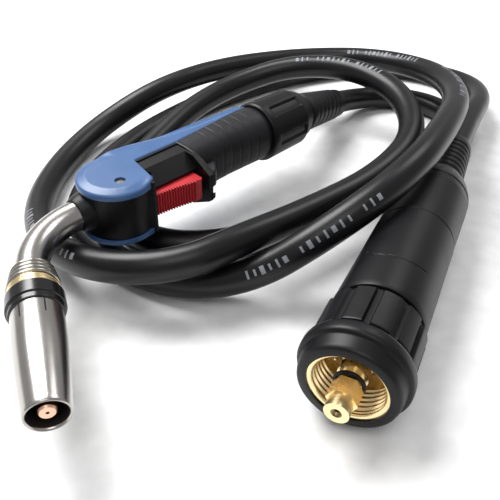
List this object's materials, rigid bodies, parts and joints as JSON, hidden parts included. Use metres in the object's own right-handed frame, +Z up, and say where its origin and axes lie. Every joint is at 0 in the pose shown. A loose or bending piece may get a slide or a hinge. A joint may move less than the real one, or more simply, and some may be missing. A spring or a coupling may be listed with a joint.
{
  "type": "welding torch",
  "caption": "Gas-cooled welding torch with bent neck, nozzle, two-tone trigger handle, looped cable and central plug connector.",
  "frame": {"origin": "the middle of the torch, without its cable and connector, which lies on its loops; the surface under it all is 35.1 mm below", "axes": "+X back along the handle, away from the nozzle; +Z up; the torch lies on its side with its trigger towards -Y"},
  "size_m": [0.478, 0.3088, 0.0653],
  "materials": {
    "nickel": "nickel plated, polished",
    "band_black": "glossy moulded insulator",
    "brass": "turned, bright",
    "copper": "turned copper, bright",
    "steel": "plain steel",
    "insulation": "pale moulded insulator",
    "cover_blue": "satin to gloss moulding",
    "grip_black": "soft matt overmoulding",
    "body_black": "satin moulding",
    "trigger_red": "satin moulding",
    "boot_black": "satin rubber",
    "cable_black": "smooth satin sheath",
    "wire_grey": "thin sheath"
  },
  "bodies": {
    "torch": {"neck_tube": "nickel", "neck_insulation": "insulation", "neck_conductor": "copper", "neck_collar": "body_black", "nozzle_spring": "steel", "contact_tip": "copper", "tip_holder": "brass", "gas_diffuser": "insulation", "grip_left": "grip_black", "grip_right": "grip_black", "cover_left": "cover_blue", "cover_right": "cover_blue", "cover_screw": "steel", "locking_collar": "body_black", "knuckle_socket": "body_black", "trigger_housing": "body_black", "trigger_pin": "steel", "switch_body": "body_black", "switch_wires": "wire_grey", "neck_union": "brass", "cable_ferrule_torch": "copper", "cable_entry_torch": "cable_black", "handle_boot": "boot_black", "cable_in_boot": "cable_black", "plug_body": "brass", "central_nipple": "brass", "nipple_o_ring": "boot_black", "liner": "steel", "pin_guide_1": "body_black", "pin_guide_2": "body_black", "connector_housing": "body_black", "connector_rear_cap": "body_black", "connector_boot": "boot_black", "cable_ferrule_plug": "copper", "cable_in_connector": "cable_black", "cable_copper_end": "copper", "power_cable": "cable_black"},
    "nozzle": {"gas_nozzle": "nickel", "nozzle_insulator": "band_black", "nozzle_ring": "brass"},
    "trigger_body": {"trigger": "trigger_red"},
    "plunger": {"switch_plunger": "trigger_red"},
    "nut": {"adapter_nut": "body_black", "nut_thread_ring": "brass"},
    "pin_1": {"control_pin_1": "brass"},
    "pin_2": {"control_pin_2": "brass"}
  },
  "joints": [
    {"name": "trigger_press", "type": "hinge", "parent": "torch", "child": "trigger_body", "pos_m": [-0.03781, 0.02143, 0.0044], "axis": [-0.0055, -0.0433, 0.999], "range_deg": [0, 5], "stiffness_Nm_per_rad": 0.4, "springref_deg": -11.46},
    {"name": "switch_travel", "type": "slide", "parent": "torch", "child": "plunger", "axis": [0.1269, 0.991, 0.0436], "range_m": [0, 0.0013]},
    {"name": "nozzle_pull", "type": "slide", "parent": "torch", "child": "nozzle", "axis": [-0.5562, -0.8301, -0.039], "range_m": [0, 0.03]},
    {"name": "adapter_nut_spin", "type": "hinge", "parent": "torch", "child": "nut", "pos_m": [-0.06335, -0.12098, -0.0101], "axis": [0.9816, 0.1908, 0], "continuous": true},
    {"name": "control_pin_1_travel", "type": "slide", "parent": "torch", "child": "pin_1", "axis": [0.9816, 0.1908, 0], "range_m": [0, 0.0035], "stiffness_N_per_m": 300, "springref_m": -0.003},
    {"name": "control_pin_2_travel", "type": "slide", "parent": "torch", "child": "pin_2", "axis": [0.9816, 0.1908, 0], "range_m": [0, 0.0035], "stiffness_N_per_m": 300, "springref_m": -0.003}
  ],
  "couplings": [
    {"joint": "switch_travel", "follows": "trigger_press", "m_per_rad": 0.014324}
  ]
}
